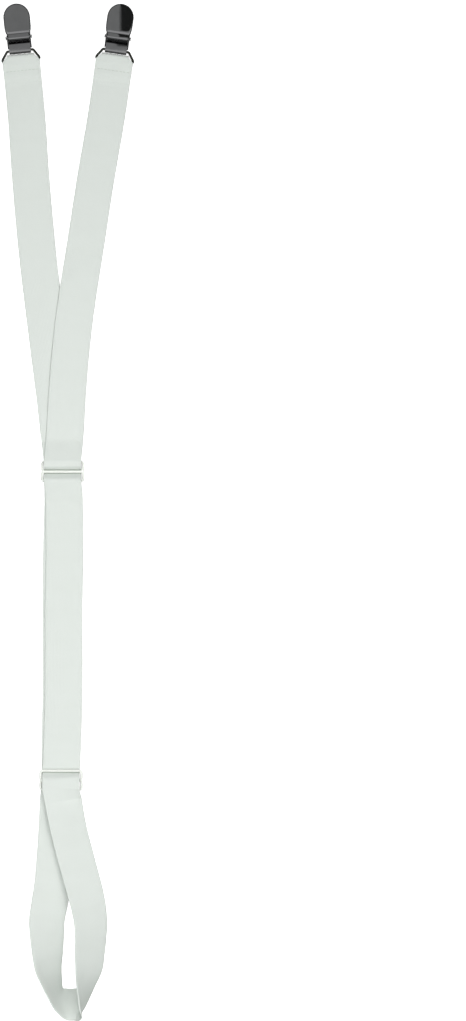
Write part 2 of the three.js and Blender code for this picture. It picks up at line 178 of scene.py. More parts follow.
# Seen from above, each run's middle line: shares of slide_drop and clip_spread
front_strand = table(["along", "across"], [
    (0, 0.557), (0.143, 0.464), (0.289, 0.353), (0.435, 0.254), (0.533, 0.186), (0.63, 0.125),
    (0.728, 0.078), (0.825, 0.046), (0.9, 0.028), (0.95, 0.01), (0.977, 0), (1, 0),
])
back_strand = table(["along", "across"], [
    (0, -0.448), (0.143, -0.388), (0.289, -0.344), (0.484, -0.265), (0.679, -0.161),
    (0.825, -0.079), (0.9, -0.044), (0.95, -0.015), (0.977, 0), (1, 0),
])
# Between the slides: shares of slide_spacing and band_width
front_middle = table(["along", "across"], [
    (0.031, 0), (0.08, 0.04), (0.254, 0.067), (0.449, 0.045), (0.546, 0.054), (0.74, 0.057),
    (0.92, 0.02), (0.969, 0), (1, 0), (1.031, 0),
])
back_middle = table(["along", "across"], [
    (0.031, 0), (0.08, 0.015), (0.254, -0.015), (0.449, -0.02), (0.643, -0.005), (0.838, -0.02),
    (0.935, -0.02), (1, -0.01),
])
# The foot loop: shares of loop_width and loop_drop, heading and roll in degrees, and the band
# thicknesses under its low edge. Heading 0 runs down, 90 to the left. Roll 90 stands it on edge.
foot_loop = table(["across", "along", "heading", "roll", "layers"], [
    (0.029, 0.084, -9, 8, 1),
    (0.066, 0.151, -11, 14, 0.7),
    (0.108, 0.218, -13, 16, 0.2),
    (0.213, 0.351, -15, 16, 0),
    (0.324, 0.485, -13, 20, 0),
    (0.379, 0.586, -5, 28, 0),
    (0.383, 0.653, 0, 34, 0),
    (0.370, 0.720, 4, 38, 0),
    (0.359, 0.787, 7, 45, 0),
    (0.320, 0.854, 12, 61, 0),
    (0.294, 0.912, 13, 75, 0),
    (0.274, 0.951, 16, 84, 0),
    (0.266, 0.969, 48, 93, 0),
    (0.257, 0.968, 88, 108, 0),
    (0.236, 0.953, 97, 128, 0),
    (0.203, 0.937, 96, 144, 0),
    (0.097, 0.935, 97, 142, 0),
    (0.011, 0.919, 107, 129, 0),
    (-0.056, 0.893, 135, 116, 0),
    (-0.109, 0.844, 162, 121, 0),
    (-0.155, 0.787, 169, 133, 0),
    (-0.168, 0.720, 176, 144, 0),
    (-0.177, 0.653, 180, 153, 0),
    (-0.180, 0.586, 184, 161, 0),
    (-0.148, 0.519, 189, 166, 0),
    (-0.099, 0.418, 189, 171, 0),
    (-0.052, 0.218, 184, 177, 0),
    (-0.035, 0.084, 182, 180, 0),
])
crossing = (0.47, 0.54)

upper_y = -slide_drop
lower_y = upper_y - slide_spacing


def plan_of(strand, middle):
    above = [{"y": -row["along"] * slide_drop, "x": row["across"] * clip_spread} for row in strand]
    between = [{
        "y": upper_y - row["along"] * slide_spacing,
        "x": row["along"] * slide_shift + row["across"] * band_width,
    } for row in middle]
    return smooth_rows(above + between, strand_steps)


def slide_bars(slide_y, layer, overs):
    """The bars that a layer passes, and the sharp shoulder where it dives from one under another."""
    bars = []
    for i, over in enumerate(overs):
        y = slide_y + (1 - i) * slide_pitch
        if not over and i > 0:
            bars.append({
                "y": y + shoulder_run,
                "level": slide_level + bar_wrap - shoulder_radius,
                "over": True,
                "radius": shoulder_radius + layer * layer_step,
            })
        bars.append({
            "y": y,
            "level": slide_level,
            "over": over,
            "radius": bar_wrap + (layer if over else 1 - layer) * layer_step,
        })
    return bars


def layer_level(layer):
    return band_thickness / 2 + layer * layer_step


def upper_slide_run(layer):
    reach = slide_pitch + ramp_run
    ramps = [{
        "y": y,
        "level": layer_level(0) + ramp_radius,
        "radius": ramp_radius - layer * layer_step,
        "over": False,
    } for y in (upper_y + reach, upper_y - reach)]
    return [ramps[0]] + slide_bars(upper_y, layer, [True, False, True]) + [ramps[1]]


def waypoint(y, level):
    return {"y": y, "level": level, "radius": 0, "over": True}


def station(centre, side, width=band_width, seam=0.0, pucker=0.0):
    return {"centre": centre, "side": side, "width": width, "seam": seam, "pucker": pucker}


def loop_stations():
    stations = []
    for row in smooth_rows(foot_loop, loop_steps):
        heading, roll = math.radians(row["heading"]), math.radians(row["roll"])
        lift = (band_width * abs(math.sin(roll)) + band_thickness * abs(math.cos(roll))) / 2
        centre = Vector((
            slide_shift + row["across"] * loop_width,
            lower_y - row["along"] * loop_drop,
            lift + row["layers"] * layer_step,
        ))
        side = Vector((
            math.cos(heading) * math.cos(roll),
            -math.sin(heading) * math.cos(roll),
            -math.sin(roll),
        ))
        stations.append(station(centre, side))
    return stations


def run_stations(plan, levels):
    """The band lies square across the upper slide's bars and on the slopes beside them."""
    stations = []
    for point in fill_run(levels, station_step):
        square = abs(point["y"] - upper_y) < slide_pitch + ramp_run + band_thickness
        rise = read_at(plan, point["y"] + mm, "x") - read_at(plan, point["y"] - mm, "x")
        side = Vector((1, 0 if square else -rise / (2 * mm), 0)).normalized()
        stations.append(station(Vector((read_at(plan, point["y"], "x"), point["y"], point["level"])), side))
    return stations


def fold_stations(plan):
    """The folded end: down the front layer's way in reverse, from the strand to the cut end."""
    end = plan[0]["x"]
    turn = math.atan2(read_at(plan, -stitch_depth - tail_length, "x") - end, stitch_depth + tail_length)
    fold_radius = ring_level - band_thickness / 2
    bend = fold_reach - band_thickness / 2 - fold_radius
    top = ring_level + fold_radius
    side_view = [
        (-stitch_depth - tail_length, layer_level(0), 1),
        (-tail_length - layer_step, layer_level(1), 1),
        (-tail_length, layer_level(1), 1),
        (-stitch_depth, layer_level(1), 1),
        (-pocket_depth, top, 1),
        (ring_wire / 2, top, 1),
        (bend, top, fold_narrowing + fold_easing),
    ]
    for degrees in range(fold_turn, -fold_turn - 1, -fold_turn_step):
        angle = math.radians(degrees)
        side_view.append((
            bend + fold_radius * math.cos(angle),
            ring_level + fold_radius * math.sin(angle),
            fold_narrowing,
        ))
    side_view += [
        (bend, layer_level(0), fold_narrowing + fold_easing),
        (ring_wire / 2, layer_level(0), 1),
        (-tail_length, layer_level(0), 1),
    ]
    up = Vector((-math.sin(turn), math.cos(turn), 0))
    side = Vector((math.cos(turn), math.sin(turn), 0))
    stations = []
    for (run, level, share), (next_run, next_level, next_share) in zip(side_view, side_view[1:]):
        count = max(1, math.ceil(math.hypot(next_run - run, next_level - level) / fold_step))
        for k in range(count + (next_run == -tail_length and next_level == layer_level(0))):
            here = run + (next_run - run) * k / count
            height = level + (next_level - level) * k / count
            narrow = share + (next_share - share) * k / count
            stations.append(station(
                Vector((end, 0, height)) + up * here, side, band_width * narrow,
                math.exp(-((here - seam_run) / seam_spread) ** 2), (1 - narrow) / (1 - fold_narrowing),
            ))
    return stations


def band_path():
    front_plan = plan_of(front_strand, front_middle)
    back_plan = plan_of(back_strand, back_middle)
    fold_run = stitch_depth + tail_length + band_thickness * 3
    front_levels = wrap_bars([
        waypoint(-fold_run, layer_level(0)),
        waypoint(-crossing[0] * slide_drop, layer_level(0)),
        waypoint(-crossing[1] * slide_drop, layer_level(1)),
        *upper_slide_run(1),
        *slide_bars(lower_y, 1, [False, True, True]),
    ], wrap_steps)
    back_levels = wrap_bars([
        waypoint(-fold_run, layer_level(0)),
        *upper_slide_run(0),
        waypoint(lower_y, layer_level(0)),
    ], wrap_steps)
    return [
        *reversed(fold_stations(front_plan)),
        *run_stations(front_plan, front_levels),
        *loop_stations(),
        *reversed(run_stations(back_plan, back_levels)),
        *fold_stations(back_plan),
    ]


def band_outline():
    """Cross-section of the band as (across, out) shares: flat faces and rounded selvedges."""
    flats, rounds = 12, 6
    corner = band_thickness / band_width
    top = [(-1 + corner + (2 - 2 * corner) * k / flats, 1) for k in range(flats + 1)]
    right = [(1 - corner + corner * math.sin(math.pi * k / rounds), math.cos(math.pi * k / rounds))
             for k in range(1, rounds)]
    return top + right + [(-across, -out) for across, out in top + right]


def band_mesh():
    upper = middle_of("slide_upper")
    place = Vector((upper.x, upper.y + slide_drop, upper.z - slide_level))
    path = band_path()
    outline = band_outline()
    points, uvs, run = [], [], 0
    for i, here in enumerate(path):
        before, after = path[max(i - 1, 0)], path[min(i + 1, len(path) - 1)]
        ahead = (after["centre"] - here["centre"]).normalized()
        behind = (here["centre"] - before["centre"]).normalized()
        face = (ahead + behind).cross(here["side"]).normalized()
        run += (here["centre"] - before["centre"]).length
        section = []
        for across, out in outline:
            thick = band_thickness / 2 - seam_depth * here["seam"] * (abs(across) < seam_reach)
            wave = here["pucker"] * pucker_height * math.sin(across * pucker_waves * math.pi)
            section.append(place + here["centre"] + here["side"] * across * here["width"] / 2
                           + face * (out * thick + wave))
            uvs.append((across * band_width / 2 / mm, run / mm))
        # No part of the band may reach below the surface that it lies on
        sunk = min(0, min(point.z for point in section))
        points += [point - Vector((0, 0, sunk)) for point in section]
    corners = len(outline)
    faces = [
        (a + k, a + (k + 1) % corners, a + corners + (k + 1) % corners, a + corners + k)
        for a in range(0, (len(path) - 1) * corners, corners) for k in range(corners)
    ]
    last = (len(path) - 1) * corners
    faces += [tuple(reversed(range(corners))), tuple(range(last, last + corners))]
    mesh = bpy.data.meshes.new("band")
    mesh.from_pydata(points, [], faces)
    layer = mesh.uv_layers.new(name="weave")
    for loop in mesh.loops:
        layer.data[loop.index].uv = uvs[loop.vertex_index]
    shape = bmesh.new()
    shape.from_mesh(mesh)
    bmesh.ops.recalc_face_normals(shape, faces=shape.faces)
    shape.to_mesh(mesh)
    shape.free()
    for polygon in mesh.polygons:
        polygon.use_smooth = len(polygon.vertices) == 4
    return mesh, run


def colour(code):
    """The linear colour of an sRGB hex value."""
    parts = [int(code[i:i + 2], 16) / 255 for i in (1, 3, 5)]
    return [p / 12.92 if p <= 0.04045 else ((p + 0.055) / 1.055) ** 2.4 for p in parts] + [1]


def node(material, kind, values=(), links=(), **settings):
    """Adds a node to a material with its settings, its socket values and its links from other nodes."""
    tree = material.node_tree
    new = tree.nodes.new(kind)
    for name, value in settings.items():
        setattr(new, name, value)
    for socket, value in dict(values).items():
        new.inputs[socket].default_value = value
    for socket, source in dict(links).items():
        tree.links.new(source, new.inputs[socket])
    return new


def finish_of(name, **sockets):
    """A new material and its shader, with the values that are the same all over set on the shader."""
    material = bpy.data.materials.new(name)
    material.use_nodes = True
    shader = material.node_tree.nodes["Principled BSDF"]
    for socket, value in sockets.items():
        shader.inputs[socket.replace("_", " ")].default_value = value
    return material, shader


# Polyester over rubber cords, woven and heat set: matt, pale grey-green, with fine ribs along
# it, one to a cord, and finer picks across. The ribs are 0.95 mm apart and the picks 0.5 mm.
def woven_elastic():
    rib_spacing = 0.95
    pick_spacing = 0.5
    selvedge = 1.3
    groove_half = 0.18
    painted_shade_reach = 1.6 * mm
    material, shader = finish_of("woven_polyester_elastic", Roughness=0.82, Sheen_Weight=0.15,
                                 Sheen_Roughness=0.5)
    place = node(material, "ShaderNodeUVMap", uv_map="weave")
    parts = node(material, "ShaderNodeSeparateXYZ", links={0: place.outputs[0]})
    across, along = parts.outputs[0], parts.outputs[1]
    stitches = node(
        material, "ShaderNodeTexBrick", links={"Vector": place.outputs[0]}, offset=0.5,
        values={"Scale": 1, "Brick Width": rib_spacing, "Row Height": pick_spacing,
                "Mortar Size": 0.13, "Mortar Smooth": 1.0, "Bias": 0.0},
    )
    ribs = node(material, "ShaderNodeMath", {1: 2 * math.pi / rib_spacing}, {0: across},
                operation="MULTIPLY")
    ribs = node(material, "ShaderNodeMath", links={0: ribs.outputs[0]}, operation="COSINE")
    from_middle = node(material, "ShaderNodeMath", links={0: across}, operation="ABSOLUTE")
    edge_place = band_width / mm / 2 - selvedge
    groove = node(material, "ShaderNodeMath", {1: edge_place, 2: groove_half}, {0: from_middle.outputs[0]},
                  operation="COMPARE")
    height = node(material, "ShaderNodeMath", {1: -0.7, 2: 0.7}, {0: stitches.outputs["Fac"]},
                  operation="MULTIPLY_ADD")
    height = node(material, "ShaderNodeMath", {1: 0.22}, {0: ribs.outputs[0], 2: height.outputs[0]},
                  operation="MULTIPLY_ADD")
    height = node(material, "ShaderNodeMath", {1: -0.8}, {0: groove.outputs[0], 2: height.outputs[0]},
                  operation="MULTIPLY_ADD")
    bump = node(material, "ShaderNodeBump", {"Strength": 0.55, "Distance": 0.12 * mm},
                {"Height": height.outputs[0]})
    # Faint bars across the band, about 9 mm apart, where the cords were under more or less
    # tension in the loom
    stretched = node(material, "ShaderNodeCombineXYZ", links={0: across, 1: along})
    stretched = node(material, "ShaderNodeMapping", {"Scale": (0.02, 0.11, 1)},
                     {"Vector": stretched.outputs[0]})
    bars = node(material, "ShaderNodeTexNoise", {"Scale": 1.0, "Detail": 3.0, "Roughness": 0.55},
                {"Vector": stretched.outputs[0]})
    tone = node(material, "ShaderNodeMix", data_type="RGBA", links={"Factor": bars.outputs["Fac"]})
    tone.inputs[6].default_value = colour("#dee3de")
    tone.inputs[7].default_value = colour("#e1e6e2")
    shade = node(material, "ShaderNodeMath", {1: 0.22}, {0: stitches.outputs["Fac"]}, operation="MULTIPLY")
    weave = node(material, "ShaderNodeMix", data_type="RGBA", links={"Factor": shade.outputs[0]})
    weave.inputs[7].default_value = colour("#c9d0c8")
    # Painted shade: between close layers, and wherever another surface lies near, the elastic's colour is
    # darkened to stand in for the shade that falls there
    painted_shade_occlusion = node(material, "ShaderNodeAmbientOcclusion", {"Distance": painted_shade_reach}, samples=8)
    painted_shade_amount = node(material, "ShaderNodeMapRange", {"From Min": 0.75, "From Max": 0.1},
                 {"Value": painted_shade_occlusion.outputs["AO"]})
    painted_shade_colour = node(material, "ShaderNodeMix", data_type="RGBA", links={"Factor": painted_shade_amount.outputs[0]})
    # The colour of the painted shade
    painted_shade_colour.inputs[7].default_value = colour("#98a397")
    material.node_tree.links.new(tone.outputs[2], weave.inputs[6])
    material.node_tree.links.new(weave.outputs[2], painted_shade_colour.inputs[6])
    material.node_tree.links.new(painted_shade_colour.outputs[2], shader.inputs["Base Color"])
    material.node_tree.links.new(bump.outputs[0], shader.inputs["Normal"])
    return material


mesh, band_length = band_mesh()
mesh.materials.append(woven_elastic())
band = bpy.data.objects.new("elastic_band", mesh)
bpy.context.scene.collection.objects.link(band)
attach(band, "band")
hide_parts("webbing")

# Seams
# One row of lockstitches closes each folded end, through both layers, in polyester thread of
# the band's colour. Each stitch is drawn tight and sinks into the elastic on both faces.
stitch_length = 2.0 * mm
stitch_pitch = 2.5 * mm
stitch_count = 9
thread = 0.34 * mm
thread_sink = 0.02 * mm
wave_rate = 20


def clip_frame(side):
    """A clip's own frame: its origin lies under the ring's upper bar, and +Y is towards its nose."""
    swing = next(joint for joint in frame["joints"] if joint["name"] == f"clip_{side}_swing")
    x, y, z = swing["pos_m"]
    turn = math.atan2(swing["axis"][1], swing["axis"][0])
    return Matrix.Translation((x, y, z - ring_level)) @ Matrix.Rotation(turn, 4, "Z")


def begin(add, **settings):
    """Adds a primitive with nothing else selected, and opens it in edit mode, all selected."""
    bpy.ops.object.select_all(action="DESELECT")
    add(**settings)
    bpy.ops.object.mode_set(mode="EDIT")
    bpy.ops.mesh.select_all(action="SELECT")


def choose(kind, test):
    """In edit mode, selects the vertices, edges or faces whose corners all pass the test."""
    bpy.ops.mesh.select_all(action="DESELECT")
    bpy.ops.mesh.select_mode(type=kind)
    shape = bmesh.from_edit_mesh(bpy.context.object.data)
    if kind == "VERT":
        chosen = [corner for corner in shape.verts if test(corner.co)]
    else:
        elements = shape.edges if kind == "EDGE" else shape.faces
        chosen = [element for element in elements if all(test(corner.co) for corner in element.verts)]
    for element in chosen:
        element.select_set(True)
    bmesh.update_edit_mesh(bpy.context.object.data)


def modify(kind, **settings):
    """Adds a modifier to the piece being made and applies it."""
    bpy.ops.object.modifier_add(type=kind)
    modifier = bpy.context.object.modifiers[-1]
    for name, value in settings.items():
        setattr(modifier, name, value)
    bpy.ops.object.modifier_apply(modifier=modifier.name)


def seat(name, material, place):
    """Names and paints the piece being made, and moves its mesh to its place in the stay."""
    piece = bpy.context.object
    piece.name = piece.data.name = name
    piece.data.materials.clear()
    piece.data.materials.append(material)
    piece.data.transform(place @ piece.matrix_world)
    piece.matrix_world = Matrix.Identity(4)
    return piece


# Spun polyester sewing thread: matt, a shade darker than the elastic, with a twist that shows
# as slanting plies 0.25 mm apart. A wave texture of scale 1 turns by wave_rate radians a metre.
def sewing_thread():
    ply_spacing = 0.25 * mm
    material, shader = finish_of("spun_polyester_thread", Roughness=0.7)
    place = node(material, "ShaderNodeTexCoord")
    plies = node(material, "ShaderNodeTexWave",
                 {"Scale": 2 * math.pi / ply_spacing / wave_rate, "Distortion": 0.6},
                 {"Vector": place.outputs["Object"]}, bands_direction="DIAGONAL")
    tone = node(material, "ShaderNodeMix", data_type="RGBA", links={"Factor": plies.outputs["Fac"]})
    tone.inputs[6].default_value = colour("#bcc4bb")
    tone.inputs[7].default_value = colour("#d6dcd4")
    bump = node(material, "ShaderNodeBump", {"Strength": 0.5, "Distance": 0.05 * mm},
                {"Height": plies.outputs["Fac"]})
    material.node_tree.links.new(tone.outputs[2], shader.inputs["Base Color"])
    material.node_tree.links.new(bump.outputs[0], shader.inputs["Normal"])
    return material


thread_paint = sewing_thread()
for side in ("left", "right"):
    back_level = thread / 2 + thread_sink
    front_level = 2 * band_thickness + clearance - back_level
    begin(bpy.ops.mesh.primitive_uv_sphere_add, segments=12, ring_count=8, radius=0.5)
    bpy.ops.transform.rotate(value=math.radians(90), orient_axis="Y", center_override=(0, 0, 0))
    bpy.ops.transform.resize(value=(stitch_length, thread, thread))
    first_stitch = -(stitch_count - 1) / 2 * stitch_pitch
    bpy.ops.transform.translate(value=(first_stitch, seam_run - ring_height, back_level))
    bpy.ops.mesh.duplicate_move(TRANSFORM_OT_translate={"value": (0, 0, front_level - back_level)})
    bpy.ops.object.mode_set(mode="OBJECT")
    modify("ARRAY", count=stitch_count, use_relative_offset=False, use_constant_offset=True,
           constant_offset_displace=(stitch_pitch, 0, 0))
    bpy.ops.object.shade_smooth()
    seam = seat(f"seam_{side}", thread_paint, clip_frame(side))
    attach(seam, "band")

# Slides
# Two three-bar slides, each moulded in one piece from white acetal: two rounded loops of round
# bar that share their middle bar. The band holds them by friction alone.
slide_bend = 1.8 * mm
bend_steps = 8
moulding_grain = 0.17 * mm


# Acetal, moulded against a polished steel tool: smooth and semi-gloss, a little whiter than the
# elastic, with the faint unevenness that shrinkage leaves.
def moulded_acetal():
    sink_size = 3 * mm
    sink_depth = 0.1 * mm
    material, shader = finish_of("moulded_white_acetal", Roughness=0.4, IOR=1.48)
    place = node(material, "ShaderNodeTexCoord")
    sink = node(material, "ShaderNodeTexNoise", {"Scale": 1 / sink_size, "Detail": 2.0},
                {"Vector": place.outputs["Object"]})
    tone = node(material, "ShaderNodeMix", data_type="RGBA", links={"Factor": sink.outputs["Fac"]})
    tone.inputs[6].default_value = colour("#eaede7")
    tone.inputs[7].default_value = colour("#f0f2ed")
    bump = node(material, "ShaderNodeBump", {"Strength": 0.12, "Distance": sink_depth},
                {"Height": sink.outputs["Fac"]})
    material.node_tree.links.new(tone.outputs[2], shader.inputs["Base Color"])
    material.node_tree.links.new(bump.outputs[0], shader.inputs["Normal"])
    return material


def bend_wire(radius):
    """Turns the outline being edited into a closed loop of round bar."""
    bpy.ops.mesh.delete(type="ONLY_FACE")
    bpy.ops.object.mode_set(mode="OBJECT")
    bpy.ops.object.convert(target="CURVE")
    wire = bpy.context.object.data
    wire.bevel_depth = radius
    wire.bevel_resolution = 6
    bpy.ops.object.convert(target="MESH")
    return bpy.context.object


acetal = moulded_acetal()
for side in ("upper", "lower"):
    half_width = band_width / 2 + clearance + slide_bar
    loops = []
    for way in (-0.5, 0.5):
        begin(bpy.ops.mesh.primitive_plane_add, size=1)
        bpy.ops.transform.resize(value=(2 * half_width, slide_pitch, 1))
        bpy.ops.transform.translate(value=(0, way * slide_pitch, 0))
        bpy.ops.mesh.bevel(offset=slide_bend, segments=bend_steps, affect="VERTICES")
        bpy.ops.mesh.select_all(action="SELECT")
        loops.append(bend_wire(slide_bar))
    loops[0].select_set(True)
    bpy.ops.object.join()
    modify("REMESH", mode="VOXEL", voxel_size=moulding_grain)
    modify("SMOOTH", factor=0.5, iterations=6)
    bpy.ops.object.shade_smooth()
    slide = seat(f"moulded_slide_{side}", acetal, Matrix.Translation(middle_of(f"slide_{side}")))
    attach(slide, "band")
    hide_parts(f"slide_{side}")

# Rings
# A four-sided ring of 1.6 mm steel wire joins each folded end to its clip: its long bar lies in
# the fold and its short bar in the clip's rolled tab. The wire is bent, butted and plated.
ring_top_width = 17.4 * mm
ring_bottom_width = 27.2 * mm
ring_top_bend = 1.2 * mm
ring_bottom_bend = 1.6 * mm


# Black nickel over bright steel: a dark mirror with a brown-green cast, slightly clouded, and
# fine polishing lines about 0.2 mm apart that only break up the highlights.
def black_nickel(name, dark, light, line_direction, smoothest, roughest):
    line_spacing = 0.2 * mm
    cloud_size = 4 * mm
    material, shader = finish_of(name, Metallic=1.0)
    place = node(material, "ShaderNodeTexCoord")
    clouds = node(material, "ShaderNodeTexNoise", {"Scale": 1 / cloud_size, "Detail": 3.0},
                  {"Vector": place.outputs["Object"]})
    tone = node(material, "ShaderNodeMix", data_type="RGBA", links={"Factor": clouds.outputs["Fac"]})
    tone.inputs[6].default_value = colour(dark)
    tone.inputs[7].default_value = colour(light)
    rough = node(material, "ShaderNodeMapRange", {"To Min": smoothest, "To Max": roughest},
                 {"Value": clouds.outputs["Fac"]})
    lines = node(material, "ShaderNodeTexWave",
                 {"Scale": 2 * math.pi / line_spacing / wave_rate, "Distortion": 2.0, "Detail": 2.0},
                 {"Vector": place.outputs["Object"]}, bands_direction=line_direction)
    bump = node(material, "ShaderNodeBump", {"Strength": 0.03, "Distance": 0.02 * mm},
                {"Height": lines.outputs["Fac"]})
    material.node_tree.links.new(tone.outputs[2], shader.inputs["Base Color"])
    material.node_tree.links.new(rough.outputs[0], shader.inputs["Roughness"])
    material.node_tree.links.new(bump.outputs[0], shader.inputs["Normal"])
    return material


plated_wire = black_nickel("black_nickel_wire", "#33342f", "#42433d", "Z", 0.12, 0.2)
# Tangent of half the ring's lower corner, which turns a bend's radius into its length on the wire
half_corner = math.tan(math.atan2(ring_height, (ring_bottom_width - ring_top_width) / 2) / 2)
for side in ("left", "right"):
    begin(bpy.ops.mesh.primitive_plane_add, size=1)
    bpy.ops.transform.resize(value=(ring_bottom_width, ring_height, 1))
    bpy.ops.transform.translate(value=(0, -ring_height / 2, 0))
    choose("VERT", lambda p: p.y > -ring_height / 2)
    bpy.ops.transform.resize(value=(ring_top_width / ring_bottom_width, 1, 1))
    bpy.ops.mesh.bevel(offset=ring_top_bend * half_corner, segments=bend_steps, affect="VERTICES")
    choose("VERT", lambda p: p.y < -ring_height * 0.9)
    bpy.ops.mesh.bevel(offset=ring_bottom_bend / half_corner, segments=bend_steps, affect="VERTICES")
    bpy.ops.mesh.select_all(action="SELECT")
    bend_wire(ring_wire)
    bpy.ops.object.shade_smooth()
    ring = seat(f"wire_ring_{side}", plated_wire, clip_frame(side) @ Matrix.Translation((0, 0, ring_level)))
    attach(ring, "band")
    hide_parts(f"ring_{side}")

# Clip bases
# The back of each clip, stamped from 0.8 mm steel: a flat plate with a round nose, an ear
# turned up on each side for the hinge, and a tab that rises over the ring's short bar and
# rolls down behind and under it. Plated in black nickel after forming.
sheet_thickness = 0.8 * mm
base_width = 16 * mm
base_length = 29 * mm
base_nose = 7 * mm
tab_foot = 6.2 * mm
tab_shoulder = 4.4 * mm
tab_roll = 250
tab_steps = 28
pin_run = 8.6 * mm
pin_radius = 0.7 * mm
jaw_gap = 4.8 * mm
ear_radius = 1.9 * mm
ear_round = 0.98 * ear_radius
ear_run = 1.6 * mm
ear_back_height = 2.4 * mm
sheet_bend = 0.5 * mm
stamped_edge = 0.13 * mm
crease_angle = math.radians(35)

lever_level = sheet_thickness * 1.5 + jaw_gap
knuckle_radius = pin_radius + clearance + sheet_thickness / 2
pin_level = lever_level - knuckle_radius
tab_width = base_width - 2 * sheet_thickness
hair = 0.01 * mm


def near(value, target):
    return abs(value - target) < hair


def round_nose(half_width, length, start, level):
    """Opens a new half oval of edges, with its two ends selected."""
    begin(bpy.ops.mesh.primitive_circle_add, vertices=96, radius=1, fill_type="NOTHING")
    bpy.ops.transform.resize(value=(half_width, length, 1))
    bpy.ops.transform.translate(value=(0, start, level))
    choose("VERT", lambda p: p.y < start - hair)
    bpy.ops.mesh.delete(type="VERT")
    choose("VERT", lambda p: p.y < start + hair)


def extrude_to(distance):
    bpy.ops.mesh.extrude_region_move(TRANSFORM_OT_translate={"value": distance})


def press_sheet():
    """Gives the surface being edited the sheet's thickness and softened edges."""
    bpy.ops.mesh.select_all(action="SELECT")
    bpy.ops.mesh.remove_doubles(threshold=hair / 10)
    bpy.ops.mesh.normals_make_consistent(inside=False)
    bpy.ops.object.mode_set(mode="OBJECT")
    modify("SOLIDIFY", thickness=sheet_thickness, offset=0, use_even_offset=True, use_quality_normals=True)
    modify("BEVEL", width=stamped_edge, segments=3, limit_method="ANGLE", angle_limit=math.radians(50))


plated_steel = black_nickel("black_nickel_stamping", "#69696a", "#757576", "X", 0.12, 0.2)
for side in ("left", "right"):
    half = base_width / 2
    level = sheet_thickness / 2
    ear_half = half - level
    ear_front = pin_run + ear_radius
    ear_top = pin_level + ear_radius
    ear_slope = (ear_top - ear_back_height) / (pin_run - ear_run)
    roll_radius = ring_level - level
    # Plate
    round_nose(half, base_nose, base_length - base_nose, level)
    extrude_to((0, ear_front + sheet_thickness - base_length + base_nose, 0))
    extrude_to((0, -sheet_thickness, 0))
    bpy.ops.transform.resize(value=(ear_half / half, 1, 1))
    extrude_to((0, tab_foot - ear_front, 0))
    bpy.ops.mesh.select_all(action="SELECT")
    bpy.ops.mesh.edge_face_add()
    for edge in (-tab_width / 2, tab_width / 2):
        bpy.ops.mesh.select_all(action="SELECT")
        bpy.ops.mesh.bisect(plane_co=(edge, 0, 0), plane_no=(1, 0, 0))
    # Ears
    choose("EDGE", lambda p: abs(p.x) > ear_half - hair and p.y < ear_front + hair)
    extrude_to((0, 0, ear_top - level))
    choose("EDGE", lambda p: abs(p.x) > ear_half - hair and near(p.y, tab_foot))
    extrude_to((0, ear_run - tab_foot, 0))
    choose("FACE", lambda p: near(abs(p.x), ear_half))
    bpy.ops.mesh.bisect(plane_co=(0, pin_run, 0), plane_no=(0, 1, 0))
    choose("VERT", lambda p: near(p.y, ear_run) and near(p.z, ear_top))
    bpy.ops.transform.translate(value=(0, 0, ear_back_height - ear_top))
    choose("VERT", lambda p: near(p.y, tab_foot) and near(p.z, ear_top))
    bpy.ops.transform.translate(value=(0, 0, ear_slope * (tab_foot - pin_run)))
    choose("VERT", lambda p: near(p.y, ear_front) and near(p.z, ear_top))
    bpy.ops.mesh.bevel(offset=ear_round, segments=10, affect="VERTICES")
    choose("VERT", lambda p: near(p.y, pin_run) and near(p.z, ear_top))
    bpy.ops.mesh.bevel(offset=ear_radius / 2, segments=6, affect="VERTICES")
    # Tab
    choose("EDGE", lambda p: near(p.y, tab_foot) and near(p.z, level) and abs(p.x) < tab_width / 2 + hair)
    extrude_to((0, tab_shoulder - tab_foot, 2 * roll_radius))
    extrude_to((0, -tab_shoulder, 0))
    bpy.ops.mesh.spin(steps=tab_steps, angle=math.radians(tab_roll),
                      center=(0, 0, ring_level), axis=(-1, 0, 0))
    choose("EDGE", lambda p: near(abs(p.x), ear_half) and near(p.z, level) and p.y > tab_foot - hair)
    bpy.ops.mesh.bevel(offset=sheet_bend, segments=3)
    choose("EDGE", lambda p: near(p.y, tab_shoulder))
    bpy.ops.mesh.bevel(offset=sheet_bend, segments=3)
    press_sheet()
    bpy.ops.object.shade_smooth_by_angle(angle=crease_angle)
    # Hinge bores
    base = seat(f"stamped_base_{side}", plated_steel, Matrix.Identity(4))
    bpy.ops.object.select_all(action="DESELECT")
    bpy.ops.mesh.primitive_cylinder_add(
        vertices=40, radius=pin_radius + clearance, depth=2 * base_width,
        location=(0, pin_run, pin_level), rotation=(0, math.radians(90), 0))
    drill = bpy.context.object
    bpy.context.view_layer.objects.active = base
    modify("BOOLEAN", object=drill, operation="DIFFERENCE", solver="EXACT")
    bpy.data.objects.remove(drill)
    base = seat(base.name, plated_steel, clip_frame(side))
    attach(base, f"clip_{side}")
    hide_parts(f"clip_base_{side}")

# Hinge pins
# A steel rivet of 1.4 mm through both ears of each clip, with a low round head outside each
# ear, set by peening and plated with the rest.
pin_head_radius = 1.3 * mm
pin_head_thickness = 0.5 * mm
head_round = 0.32 * mm

